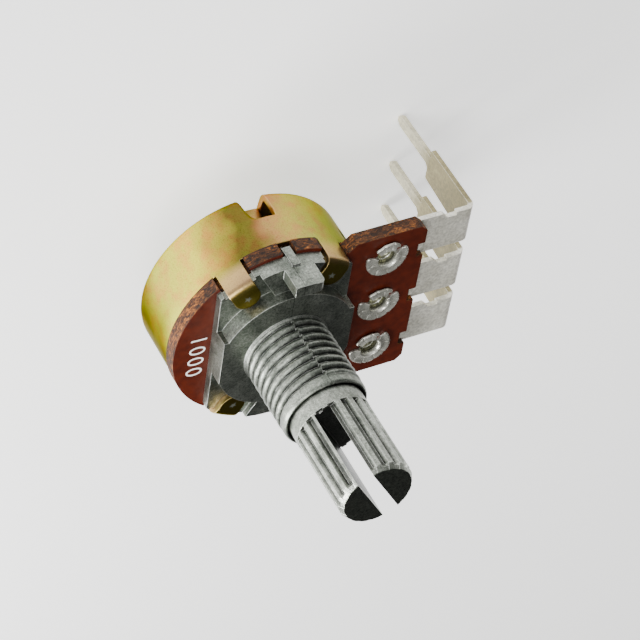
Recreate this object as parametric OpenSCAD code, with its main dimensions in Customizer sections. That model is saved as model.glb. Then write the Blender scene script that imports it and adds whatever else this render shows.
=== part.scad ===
// Single-gang rotary potentiometer: threaded bushing, split knurled shaft, bent board terminals.
// Frame: +Z runs out along the shaft, +X points to the terminals and +Y to the locating lug.
// The origin is the centre of the raised mounting face. All sizes are in millimetres.

// Piece to draw, or all of them

/* [Body] */

// Outside diameter of the rear cover, which the plate, the wafer and the terminals follow
body_d = 16.6; // [16.4:0.1:18]

/* [Shaft] */

// Shaft diameter over the collar and the knurl
shaft_d = 6; // [5.8:0.1:6.2]
// Distance from the mounting face to the tip
shaft_reach = 15; // [14.5:0.5:20]
// Width of the slot that splits the knurled end
slot_w = 1.3; // [1:0.1:1.6]
// Length of that slot
slot_length = 6.9; // [5:0.1:7]
// Number of knurl ridges
knurl_count = 18; // [12:2:24]
// Depth of the knurl grooves
knurl_depth = 0.35; // [0.2:0.05:0.45]
// Plain collar between the bushing mouth and the knurl
collar_h = 1.25; // [0.8:0.05:1.5]
// Height of the chamfer at the tip
tip_chamfer = 0.55; // [0.3:0.05:0.7]
// Inset of the chamfer at the tip
tip_inset = 0.28; // [0.2:0.02:0.4]
// Direction of the slot at rest, in degrees from +X
slot_turn = 120.5; // [0:0.5:180]

/* [Bushing plate] */

// Outside diameter of the bushing, over the thread crests
bushing_d = 7; // [6.8:0.1:8]
// Spacing of the thread's turns
thread_pitch = 0.75; // [0.7:0.05:1]
// Depth of the thread
thread_depth = 0.34; // [0.2:0.02:0.36]
// Height of the bushing above the mounting face
bushing_h = 6.75; // [6:0.25:7]
// Diameter of the raised mounting face
boss_d = 11.3; // [10.9:0.1:11.6]
// Width of the plate across its two flats
plate_w = 10.8; // [10.6:0.1:11]
// Inset of the plate's round edges from the cover's wall
plate_inset = 0.2; // [0.1:0.05:0.3]
// Thickness of the plate at the mounting face
plate_t = 2; // [1.9:0.05:2.3]
// Depth of the tab pockets below the mounting face
pocket_depth = 1.3; // [1.2:0.05:1.4]
// Depth of the two shelves between the pockets
shelf_depth = 0.8; // [0.5:0.05:1]
// Width of the locating lug
lug_w = 2.45; // [2:0.05:2.8]
// Height of the locating lug above the mounting face
lug_h = 1.2; // [0.8:0.1:1.6]
// Sideways offset of the locating lug
lug_shift = 0.5; // [-0.5:0.1:0.6]

/* [Wafer] */

// Reach of the wafer's round edge beyond the cover's wall
wafer_lip = 0.1; // [0:0.05:0.3]
// Thickness of the wafer
wafer_t = 1.2; // [1:0.1:1.4]
// Reach of the terminal ear beyond the eyelets' centres
ear_margin = 3.3; // [3.1:0.1:3.8]
// Width of the terminal ear
ear_w = 15.1; // [14.8:0.1:15.6]
// Sideways offset of the terminal ear
ear_shift = -0.45; // [-0.6:0.05:0.2]

/* [Terminals] */

// Spacing of the three terminals
pitch = 5; // [4.8:0.1:5.1]
// Sideways offset of the terminal row
row_shift = -0.15; // [-0.3:0.05:0.15]
// Distance of the eyelets' centres beyond the cover's wall
rivet_gap = 0.5; // [0.4:0.05:0.7]
// Distance of the legs' outer faces beyond the ear
leg_gap = 4.95; // [4:0.05:6]
// Width of the terminal strip
lead_w = 3.7; // [3.3:0.1:3.8]
// Thickness of the terminal strip
lead_t = 0.4; // [0.3:0.05:0.5]
// Length of the full-width leg behind the wafer
leg_length = 6.7; // [6:0.1:8]
// Length of the board pin beyond the shoulder
pin_length = 5.1; // [3:0.1:6]
// Width of the board pin
pin_w = 1; // [0.8:0.05:1.2]

/* [Rear cover] */

// Depth of the cover behind the wafer
can_depth = 5.4; // [5.2:0.1:6.5]
// Sheet thickness of the cover
sheet_t = 0.5; // [0.4:0.05:0.5]
// Width of the four folded tabs
tab_w = 2.1; // [1.8:0.1:2.3]
// Gap between the end of a tab and the raised mounting face
tab_gap = 0.25; // [0.1:0.05:0.6]
// Width of the opening over the terminals
opening_w = 10.8; // [10.4:0.1:11]
// Height of the opening over the terminals
opening_h = 2.4; // [2:0.1:2.8]

/* [Hidden] */

// Clearances
run_gap = 0.03;
fit_gap = 0.03;
free_gap = 0.1;
cut = 1;
through = 4 * body_d;

// Levels along the shaft
wafer_front = -plate_t;
wafer_back = wafer_front - wafer_t;
can_back = wafer_back - can_depth;
pocket_z = -pocket_depth;
shelf_z = -shelf_depth;
tip_z = shaft_reach;
slot_z = tip_z - slot_length;
collar_z = bushing_h + collar_h;
shoulder_z = wafer_back - leg_length;
pin_tip_z = shoulder_z - pin_length;

// Radii
shaft_r = shaft_d / 2;
bushing_r = bushing_d / 2;
bore_r = shaft_r + run_gap;
boss_r = boss_d / 2;
can_r = body_d / 2;
can_in = can_r - sheet_t;
plate_r = can_r - plate_inset;
wafer_r = can_r + wafer_lip;
corner_r = 0.7;
fold_r = sheet_t + 0.2;

// Places along the terminals
rivet_x = can_r + rivet_gap;
ear_reach = rivet_x + ear_margin;
leg_x = ear_reach + leg_gap;

// Thread, drawn as rings: its first groove, their number and the flat at a groove's bottom
mouth_h = 0.35;
mouth_inset = 0.28;
groove_half = 0.4 * thread_pitch;
groove_flat = 0.08 * thread_pitch;
groove_z = 0.25 + groove_half;
groove_count = floor((bushing_h - mouth_h - 0.25) / thread_pitch);

// Tabs and the notches that they pass through
tab_angles = [60, 120, 240, 300];
tab_reach = can_r - boss_r - tab_gap;
notch_r = can_in - 0.06;
notch_w = tab_w + 0.55;
pocket_half = tab_w / 2 + 0.45;
pocket_extra = [0, 0.22, 0.5, 0.5];

// Locating nib of the plate, and its notch in the wafer
nib_w = 0.7;
nib_depth = 0.75;
nib_out = 0.12;
nib_shift = 0.27;
key_w = 1.15;
lug_t = 0.85;
lug_round = 0.5;
ledge_y0 = -1.85;
ledge_y1 = 2.6;

// Retaining ring, its groove and its recess
ring_t = 0.5;
ring_r = shaft_r + 0.9;
groove_r = shaft_r - 0.6;
recess_depth = plate_t - 1.15;
recess_z = wafer_front + recess_depth;
ring_front = recess_z - free_gap;

// Wafer
hole_r = shaft_r + 0.25;
ear_y0 = ear_shift - ear_w / 2;
ear_y1 = ear_shift + ear_w / 2;
ear_x0 = rivet_x - 2.7;
ear_chamfer = 0.55;
slot_depth_ear = 0.6;
slot_w_ear = 1.35;

// Terminals and eyelets
lead_back = wafer_back - lead_t;
lead_mid = -0.3;
lead_x0 = rivet_x - 1.45;
lead_trim = 0.2;
lead_recess = 0.5;
lead_step_x = ear_reach + 2;
leg_taper = 0.5;
pin_shift = 0.2;
spur_w = 0.9;
spur_t = 0.35;
spur_h = 0.85;
tube_r = 0.85;
tube_in = 0.55;
head_t = 0.2;
head_r = 1.35;
petal_r = 1.8;
petal_turn = [0, -4, 14];

// Pressed-in stop of the cover, which is open on one side
stop_w = 1.2;
stop_shift = 0.45;
stop_floor = can_r - 1.6;
stop_z = can_back + 2.6;
stop_slope = 0.85;
stop_ramp = 0.55;
stop_left = stop_shift - stop_w / 2;
stop_right = stop_shift + stop_w / 2;
stop_edge = stop_left - stop_slope;

// Printed tracks, which share the room between the hole and the cover's wall
print_t = 0.05;
print_room = can_in - hole_r;
track_r0 = hole_r + 0.43 * print_room;
track_r1 = hole_r + 0.78 * print_room;
track_half_gap = 36;
ring_r0 = hole_r + 0.08 * print_room;
ring_r1 = hole_r + 0.3 * print_room;
pad_near = 0.9;
pad_far = 2.1;
pad_gap = 0.02;
pad_root = 0.75;

// Rotor
drive_w = 3.8;
drive_r = shaft_r - 0.4;
drive_step = 0.8;
drive_z = wafer_back - drive_step;
end_gap = 0.7;
shaft_end = can_back + sheet_t + end_gap;
stop_gap = 0.35;
disc_r = stop_floor - sheet_t - stop_gap;
disc_gap = 1.35;
disc_front = wafer_back - disc_gap;
disc_t = 1.1;
hub_r = 3.9;
hub_gap = 0.3;
hub_end = can_back + sheet_t + hub_gap;
arm_gap = 0.45;
arm_r = can_in - arm_gap;
arm_w = 3.3;
arm_h = 1.5;

// Wiper
wiper_t = 0.2;
wiper_gap = 0.5;
wiper_inset = 0.15;
wiper_r0 = drive_r + wiper_gap;
wiper_front = disc_front + wiper_t;
window_w = 3.6;
finger_w = 0.7;
finger_len = 2.6;
finger_shift = 0.5;
finger_root = 0.3;
root_w = 0.75;
contact_gap = 0.05;
contact_z = wafer_back - print_t - contact_gap;

// Upright slab between two levels, from a flat outline
module slab(z0, z1) {
    translate([0, 0, z0])
        linear_extrude(z1 - z0)
            children();
}

// Copies at the four tabs, with local +X pointing outward
module at_tabs() {
    for (a = tab_angles)
        rotate(a)
            children();
}

// Place of terminal k, which is 1, 2 or 3
module at_terminal(k) {
    translate([rivet_x, row_shift + (2 - k) * pitch, 0])
        children();
}

// Outline that is the difference between a square corner and a round one
module corner_waste(r) {
    difference() {
        square(r + cut);
        circle(r, $fn = 48);
    }
}

// Rear cover

// Half section of the drawn cup
module cup_section() {
    difference() {
        translate([0, can_back])
            square([can_r, can_depth]);
        translate([-cut, can_back + sheet_t])
            square([can_in + cut, can_depth + cut]);
        translate([can_r - corner_r, can_back + corner_r])
            mirror([0, 1])
                corner_waste(corner_r);
    }
}

// Half section of a folded tab
module tab_section() {
    difference() {
        union() {
            translate([can_in, wafer_back - 0.1])
                square([sheet_t, pocket_z + sheet_t - wafer_back + 0.1]);
            translate([can_r - tab_reach, pocket_z])
                square([tab_reach, sheet_t]);
        }
        translate([can_r - fold_r, pocket_z + sheet_t - fold_r])
            corner_waste(fold_r);
    }
}

// Plan of a folded tab, with its round end
module tab_plan() {
    translate([can_r - tab_reach + tab_w / 2, 0])
        circle(d = tab_w, $fn = 48);
    translate([can_r - tab_reach + tab_w / 2, -tab_w / 2])
        square([tab_reach, tab_w]);
}

// Sheet pressed in at the rear corner: a ramp in front, a slope on one side, sheared on the other
module pressed_stop() {
    side = sqrt(can_r * can_r - stop_edge * stop_edge) - 0.02;
    inner = stop_floor - sheet_t;
    ramp_z = stop_z - stop_ramp;
    // floor and sloping side
    slab(can_back, ramp_z)
        polygon([
            [stop_right, stop_floor], [stop_left, stop_floor], [stop_edge, side],
            [stop_edge - 0.5, side - 0.12], [stop_left - 0.25, inner], [stop_right, inner]
        ]);
    slab(can_back, stop_z + 0.1)
        polygon([
            [stop_left, stop_floor], [stop_edge, side],
            [stop_edge - 0.5, side - 0.12], [stop_left - 0.25, inner], [stop_left, inner]
        ]);
    // front ramp
    translate([stop_left - 0.1, 0, 0])
        rotate([90, 0, 90])
            linear_extrude(stop_w + 0.1)
                polygon([
                    [inner, ramp_z - 0.3], [stop_floor, ramp_z - 0.3], [stop_floor, ramp_z],
                    [side, stop_z], [side - 0.1, stop_z + 0.4], [inner, ramp_z + 0.3]
                ]);
}

module rear_cover() {
    color([0.78, 0.72, 0.42])
        union() {
            difference() {
                rotate_extrude($fn = 180) {
                    cup_section();
                    tab_section();
                }
                // blank cut away beside the tabs
                slab(wafer_back, cut)
                    difference() {
                        circle(can_r + cut, $fn = 180);
                        at_tabs()
                            tab_plan();
                    }
                // opening over the terminals
                translate([0, row_shift - opening_w / 2, wafer_back - opening_h])
                    cube([can_r + cut, opening_w, opening_h + cut]);
                // room for the pressed-in stop
                slab(can_back - cut, stop_z)
                    polygon([
                        [stop_left, stop_floor - 0.2], [stop_right + 0.12, stop_floor - 0.2],
                        [stop_right + 0.12, can_r + cut], [stop_edge - 0.05, can_r + cut],
                        [stop_edge - 0.05, can_r - 0.15]
                    ]);
            }
            pressed_stop();
        }
}

// Bushing plate

// Plate outline, round at the top and the bottom and flat at the sides
module plate_outline() {
    intersection() {
        circle(plate_r, $fn = 180);
        square([plate_w, 2 * plate_r], center = true);
    }
}

// Everything outside the two shelves, whose ends stand clear of the tabs
module pocket_area() {
    for (i = [0:len(tab_angles) - 1]) {
        end = pocket_half + pocket_extra[i];
        rotate(tab_angles[i])
            translate([0, i % 2 == 0 ? -body_d : -end])
                square([body_d, body_d + end]);
    }
}

// Raised mounting face, with its ledges out to the flats
module boss_outline() {
    intersection() {
        union() {
            circle(boss_r, $fn = 180);
            translate([-plate_w, ledge_y0])
                square([plate_w * 2, ledge_y1 - ledge_y0]);
        }
        square([plate_w, boss_d + cut], center = true);
    }
}

// Places of the notches that the cover's tabs pass through
module tab_notches() {
    at_tabs()
        translate([notch_r, -notch_w / 2])
            square([wafer_r - notch_r + cut, notch_w]);
}

// Flat outline of the locating lug, rounded with the plate's edge
module lug_outline() {
    intersection() {
        circle(plate_r, $fn = 180);
        translate([lug_shift - lug_w / 2, plate_r - lug_t - 0.15])
            square([lug_w, lug_t + cut]);
    }
}

module locating_lug() {
    difference() {
        slab(shelf_z - 0.2, lug_h)
            lug_outline();
        translate([lug_shift + lug_w / 2 - lug_round, plate_r + cut, lug_h - lug_round])
            rotate([90, 0, 0])
                linear_extrude(lug_t + 3 * cut)
                    corner_waste(lug_round);
    }
}

// The threaded stem, its thread drawn as rings of the thread's own section
module bushing_stem() {
    root = bushing_r - thread_depth;
    rotate_extrude($fn = 96)
        polygon([
            [0, shelf_z / 2], [bushing_r, shelf_z / 2],
            for (i = [0:groove_count - 1])
                for (p = [
                    [bushing_r, -groove_half], [root, -groove_flat],
                    [root, groove_flat], [bushing_r, groove_half]
                ])
                    [p[0], groove_z + i * thread_pitch + p[1]],
            [bushing_r, bushing_h - mouth_h], [bushing_r - mouth_inset, bushing_h], [0, bushing_h]
        ]);
}

module bushing_plate() {
    color([0.62, 0.64, 0.65])
        difference() {
            union() {
                slab(wafer_front, pocket_z)
                    difference() {
                        plate_outline();
                        tab_notches();
                    }
                slab(pocket_z, shelf_z)
                    difference() {
                        union() {
                            difference() {
                                plate_outline();
                                pocket_area();
                            }
                            boss_outline();
                        }
                        tab_notches();
                    }
                slab(shelf_z, 0)
                    boss_outline();
                bushing_stem();
                locating_lug();
                // nib that keys into the wafer
                translate([nib_shift - nib_w / 2, plate_r - 0.6, wafer_front - nib_depth])
                    cube([nib_w, 0.6 + nib_out, nib_depth + plate_t - shelf_depth - 0.1]);
            }
            // shaft bore and ring recess
            translate([0, 0, wafer_front - cut])
                cylinder(h = plate_t + bushing_h + 2 * cut, r = bore_r, $fn = 96);
            translate([0, 0, wafer_front - cut])
                cylinder(h = recess_depth + cut, r = ring_r + 0.25, $fn = 96);
        }
}

// Wafer

module ear_outline() {
    difference() {
        polygon([
            [0, ear_y0 + 0.7], [ear_x0 - 0.7, ear_y0 + 0.7], [ear_x0, ear_y0],
            [ear_reach - ear_chamfer, ear_y0], [ear_reach, ear_y0 + ear_chamfer],
            [ear_reach, ear_y1 - ear_chamfer], [ear_reach - ear_chamfer, ear_y1],
            [ear_x0, ear_y1], [ear_x0 - 0.7, ear_y1 - 0.7], [0, ear_y1 - 0.7]
        ]);
        // edge notches for the terminal spurs
        for (k = [1:3])
            at_terminal(k)
                translate([ear_reach - rivet_x - slot_depth_ear, lead_mid - slot_w_ear / 2])
                    square([slot_depth_ear + cut, slot_w_ear]);
    }
}

module wafer() {
    color([0.5, 0.22, 0.12])
        slab(wafer_back, wafer_front)
            difference() {
                union() {
                    circle(wafer_r, $fn = 180);
                    ear_outline();
                }
                circle(hole_r, $fn = 96);
                tab_notches();
                translate([nib_shift - key_w / 2, plate_r - 0.7])
                    square([key_w, wafer_r - plate_r + 0.7 + cut]);
                for (k = [1:3])
                    at_terminal(k)
                        circle(tube_r + fit_gap, $fn = 48);
            }
}

// Printed tracks on the rear of the wafer

module resistive_track() {
    color([0.08, 0.08, 0.08])
        rotate(track_half_gap)
            translate([0, 0, wafer_back - print_t])
                rotate_extrude(angle = 360 - 2 * track_half_gap, $fn = 180)
                    translate([track_r0, 0])
                        square([track_r1 - track_r0, print_t]);
}

// Silvered pads from the two ends of the track to the outer terminals
module end_contacts() {
    c = cos(track_half_gap);
    s = sin(track_half_gap);
    gap = pad_gap / 2;
    end_x = lead_x0 - pad_gap;
    color([0.75, 0.75, 0.73])
        slab(wafer_back - print_t, wafer_back)
            for (side = [1, -1])
                mirror([0, side > 0 ? 0 : 1])
                    polygon([
                        [track_r0 * c + gap, track_r0 * s - gap], [track_r1 * c + gap, track_r1 * s - gap],
                        [end_x, pitch - pad_near], [end_x, pitch - pad_far],
                        [track_r0 * c + pad_near, track_r0 * s - pad_root]
                    ]);
}

module collector_track() {
    color([0.72, 0.72, 0.7])
        slab(wafer_back - print_t, wafer_back)
            difference() {
                union() {
                    circle(ring_r1, $fn = 96);
                    translate([0, row_shift - 0.7])
                        square([lead_x0 - pad_gap, 1.4]);
                }
                circle(ring_r0, $fn = 96);
            }
}

// Terminals

// Side view of the bent strip
module lead_bend() {
    bend_out = lead_t + 0.3;
    difference() {
        translate([lead_x0, pin_tip_z])
            square([leg_x - lead_x0, wafer_back - pin_tip_z]);
        translate([lead_x0 - cut, pin_tip_z - cut])
            square([leg_x - lead_t - bend_out + lead_t - lead_x0 + cut, lead_back - pin_tip_z + cut]);
        translate([leg_x - bend_out - cut, pin_tip_z - cut])
            square([bend_out - lead_t + cut, lead_back - 0.3 - pin_tip_z + cut]);
        translate([leg_x - bend_out, wafer_back - bend_out])
            corner_waste(bend_out);
        translate([leg_x - bend_out, lead_back - 0.3])
            circle(0.3, $fn = 48);
    }
}

// Outline of the strip seen from the front, recessed on one side before the bend
module lead_plan() {
    low = lead_mid - lead_w / 2;
    high = lead_mid + lead_w / 2;
    polygon([
        [lead_x0, low], [leg_x + cut, low], [leg_x + cut, high - lead_trim],
        [lead_step_x + 1.25, high - lead_trim], [lead_step_x + 1.25, high - lead_recess],
        [lead_step_x + 0.45, high - lead_recess], [lead_step_x, high], [lead_x0, high]
    ]);
}

// Outline of the leg and its pin, seen from the end: x is sideways and y is height
module leg_outline() {
    low = lead_mid - lead_w / 2;
    high = lead_mid + lead_w / 2 - lead_trim;
    pin0 = pin_shift - pin_w / 2;
    pin1 = pin_shift + pin_w / 2;
    polygon([
        [low, wafer_back + cut], [low, wafer_back - 0.9],
        [low + leg_taper, shoulder_z + 0.1], [low + leg_taper + 0.1, shoulder_z],
        [pin0 - 0.3, shoulder_z], [pin0, shoulder_z - 0.35],
        [pin0, pin_tip_z + 0.4], [pin0 + 0.3, pin_tip_z],
        [pin1 - 0.3, pin_tip_z], [pin1, pin_tip_z + 0.4],
        [pin1, shoulder_z + 0.15], [pin1 + 0.15, shoulder_z + 0.3],
        [high - 0.25, shoulder_z - 0.05], [high, shoulder_z + 0.15], [high, wafer_back + cut]
    ]);
}

module terminal(k) {
    color([0.8, 0.78, 0.73])
        difference() {
            union() {
                intersection() {
                    translate([0, lead_w, 0])
                        rotate([90, 0, 0])
                            linear_extrude(2 * lead_w)
                                lead_bend();
                    union() {
                        slab(lead_back - 0.35, wafer_back + cut)
                            lead_plan();
                        translate([leg_x - lead_t - 0.35, 0, 0])
                            rotate([90, 0, 90])
                                linear_extrude(lead_t + 0.35 + cut)
                                    leg_outline();
                    }
                }
                // spur that stops the strip from turning on its eyelet
                translate([ear_reach - 0.28, lead_mid - spur_w / 2, wafer_back - 0.1])
                    cube([spur_t, spur_w, spur_h + 0.1]);
            }
            translate([rivet_x, 0, 0])
                cylinder(h = through, r = tube_r + fit_gap, center = true, $fn = 48);
        }
}

module place_terminal(k) {
    translate([0, row_shift + (2 - k) * pitch, 0])
        terminal(k);
}

module terminal_1() {
    place_terminal(1);
}

module terminal_2() {
    place_terminal(2);
}

module terminal_3() {
    place_terminal(3);
}

// Eyelets

// Section of the flared rim, up to radius r
module petal_section(r, lift) {
    polygon([
        [tube_in, wafer_front - 0.3], [tube_r, wafer_front - 0.3], [tube_r, wafer_front],
        [tube_r + 0.25, wafer_front + 0.05], [r, wafer_front + lift], [r, wafer_front + lift + 0.14],
        [r - 0.18, wafer_front + lift + 0.26], [tube_r + 0.25, wafer_front + 0.36],
        [tube_in + 0.15, wafer_front + 0.22], [tube_in, wafer_front]
    ]);
}

module petal(from, sweep, r, lift) {
    rotate(from)
        rotate_extrude(angle = sweep, $fn = 72)
            petal_section(r, lift);
}

module eyelet(k) {
    base = lead_back - head_t;
    color([0.82, 0.83, 0.84])
        at_terminal(k) {
            difference() {
                union() {
                    translate([0, 0, base])
                        cylinder(h = wafer_front - 0.15 - base, r = tube_r, $fn = 48);
                    translate([0, 0, base])
                        cylinder(h = head_t, r = head_r, $fn = 48);
                }
                translate([0, 0, wafer_front - 0.9])
                    cylinder(h = wafer_t + cut, r = tube_in, $fn = 48);
            }
            petal(petal_turn[k - 1] + 165, 225, petal_r, 0.02);
            petal(petal_turn[k - 1] + 52, 84, petal_r - 0.2, 0.12);
        }
}

module eyelet_1() {
    eyelet(1);
}

module eyelet_2() {
    eyelet(2);
}

module eyelet_3() {
    eyelet(3);
}

// Shaft

// Ridged outline of the knurl
module knurl_outline() {
    step = 360 / knurl_count;
    crest = shaft_r - 0.02;
    root = shaft_r - knurl_depth;
    polygon([
        for (i = [0:knurl_count - 1])
            for (p = [[root, 0], [root, 0.28], [crest, 0.46], [crest, 0.82]])
                [p[0] * cos((i + p[1]) * step), p[0] * sin((i + p[1]) * step)]
    ]);
}

module shaft_blank() {
    band_z = tip_z - 0.6 * tip_chamfer;
    band_r = shaft_r - 0.4 * tip_inset - 0.03;
    groove_top = ring_front + 0.05;
    groove_end = ring_front - ring_t - 0.05;
    rotate_extrude($fn = 96)
        polygon([
            [0, drive_z], [shaft_r, drive_z],
            [shaft_r, groove_end], [groove_r, groove_end], [groove_r, groove_top],
            [shaft_r, groove_top], [shaft_r, collar_z], [0, collar_z]
        ]);
    // knurled end, chamfered at the tip
    intersection() {
        slab(collar_z - 0.2, tip_z)
            knurl_outline();
        rotate_extrude($fn = 96)
            polygon([
                [0, 0], [shaft_r + cut, 0],
                [shaft_r + cut, tip_z - tip_chamfer * (1 + cut / tip_inset)],
                [shaft_r - tip_inset, tip_z], [0, tip_z]
            ]);
    }
    // band that the knurl's grooves run out on
    rotate_extrude($fn = 96)
        polygon([
            [0, band_z - 0.45], [shaft_r - knurl_depth - 0.06, band_z - 0.45],
            [band_r, band_z], [shaft_r - tip_inset - 0.03, tip_z], [0, tip_z]
        ]);
    // drive end with two flats
    intersection() {
        slab(shaft_end, drive_z + 0.3)
            circle(drive_r, $fn = 96);
        cube([drive_w, shaft_d, through], center = true);
    }
}

module shaft() {
    color([0.66, 0.67, 0.68])
        rotate(slot_turn)
            difference() {
                shaft_blank();
                translate([-shaft_d, -slot_w / 2, slot_z])
                    cube([2 * shaft_d, slot_w, slot_length + cut]);
            }
}

module retaining_ring() {
    color([0.55, 0.56, 0.58])
        rotate(slot_turn)
            slab(ring_front - ring_t, ring_front)
                difference() {
                    circle(ring_r, $fn = 96);
                    circle(groove_r + fit_gap, $fn = 96);
                    // open mouth, and the two reliefs of an E-shaped ring
                    translate([0, -groove_r * 0.8])
                        square([ring_r + cut, groove_r * 1.6]);
                    for (side = [1, -1])
                        rotate(side * 118)
                            translate([groove_r + 0.1, 0])
                                circle(0.55, $fn = 32);
                }
}

// Rotor

module carrier() {
    color([0.9, 0.88, 0.8])
        difference() {
            union() {
                slab(disc_front - disc_t, disc_front)
                    circle(disc_r, $fn = 96);
                slab(hub_end, disc_front - disc_t + 0.2)
                    circle(hub_r, $fn = 96);
                // stop arm, opposite the cover's pressed-in stop at rest
                slab(hub_end, hub_end + arm_h)
                    intersection() {
                        circle(arm_r, $fn = 96);
                        translate([-arm_w / 2, -body_d])
                            square([arm_w, body_d]);
                    }
            }
            rotate(slot_turn)
                intersection() {
                    cylinder(h = through, r = drive_r + fit_gap, center = true, $fn = 96);
                    cube([drive_w + 2 * fit_gap, shaft_d * 2, through], center = true);
                }
            // moulded relief rings in the hub's rear
            translate([0, 0, hub_end - cut])
                cylinder(h = cut + 0.4, r = drive_r + 0.35, $fn = 96);
        }
}

// Side view of a sprung finger: x runs along it and y is height
module finger_section() {
    rise = contact_z - wiper_front;
    dip = contact_z - 0.35 * rise;
    polygon([
        [-finger_len, wiper_front - wiper_t], [-finger_len, wiper_front],
        [-finger_len + finger_root, wiper_front], [-0.5 * finger_w, contact_z - 0.6 * wiper_t],
        [-0.17 * finger_w, contact_z], [0.17 * finger_w, contact_z], [0.8 * finger_w, dip],
        [0.6 * finger_w, dip - 0.8 * wiper_t], [0.07 * finger_w, contact_z - wiper_t],
        [-0.4 * finger_w, contact_z - 1.6 * wiper_t],
        [-finger_len + 1.5 * finger_root, wiper_front - wiper_t]
    ]);
}

module finger(r) {
    translate([-r - finger_w / 2, 0, 0])
        rotate([90, 0, 90])
            linear_extrude(finger_w)
                finger_section();
}

module wiper() {
    outer = (track_r0 + track_r1) / 2 - finger_shift;
    inner = (ring_r0 + ring_r1) / 2;
    root_y = finger_root - finger_len;
    color([0.85, 0.72, 0.45])
        union() {
            slab(disc_front, wiper_front)
                difference() {
                    union() {
                        circle(disc_r - wiper_inset, $fn = 96);
                        // strip that the outer finger springs from
                        translate([-outer - finger_w / 2, root_y - root_w])
                            square([outer, root_w]);
                    }
                    circle(wiper_r0, $fn = 96);
                    // window under the fingers
                    translate([-disc_r - cut, root_y])
                        square([disc_r + cut - wiper_r0 + finger_root, window_w]);
                }
            finger(outer);
            finger(inner);
        }
}

rear_cover();
bushing_plate();
wafer();
resistive_track();
end_contacts();
collector_track();
terminal_1();
terminal_2();
terminal_3();
eyelet_1();
eyelet_2();
eyelet_3();
shaft();
retaining_ring();
carrier();
wiper();
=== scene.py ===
"""Looks of a rotary potentiometer with a threaded bushing and bent board terminals."""

import math

import bmesh
import bpy
import numpy as np
from mathutils import Matrix, Quaternion, Vector, noise


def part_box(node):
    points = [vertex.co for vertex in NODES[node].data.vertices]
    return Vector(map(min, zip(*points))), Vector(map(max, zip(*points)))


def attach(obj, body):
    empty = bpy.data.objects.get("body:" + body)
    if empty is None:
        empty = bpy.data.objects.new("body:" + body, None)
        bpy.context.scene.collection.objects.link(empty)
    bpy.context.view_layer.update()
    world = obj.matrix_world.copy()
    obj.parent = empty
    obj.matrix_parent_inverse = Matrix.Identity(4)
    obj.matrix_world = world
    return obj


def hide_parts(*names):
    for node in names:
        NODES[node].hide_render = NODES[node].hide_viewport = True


MM = 0.001
TAU = 2 * math.pi
WELD = 1e-7
MIXED = 2  # the colour output of a Mix node

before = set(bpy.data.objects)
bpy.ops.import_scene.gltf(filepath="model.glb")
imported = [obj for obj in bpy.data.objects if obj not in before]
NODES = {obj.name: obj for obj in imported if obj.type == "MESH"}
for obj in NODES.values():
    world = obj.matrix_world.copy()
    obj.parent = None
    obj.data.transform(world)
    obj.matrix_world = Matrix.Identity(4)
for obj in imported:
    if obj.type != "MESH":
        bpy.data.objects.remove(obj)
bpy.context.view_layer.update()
TIP_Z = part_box("shaft")[1].z / MM
WAFER_BACK, WAFER_FRONT = (corner.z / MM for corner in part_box("wafer"))
PIN_DEPTH = -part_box("terminal_1")[0].z / MM
rng = np.random.default_rng(7)


# Shader nodes


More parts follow.
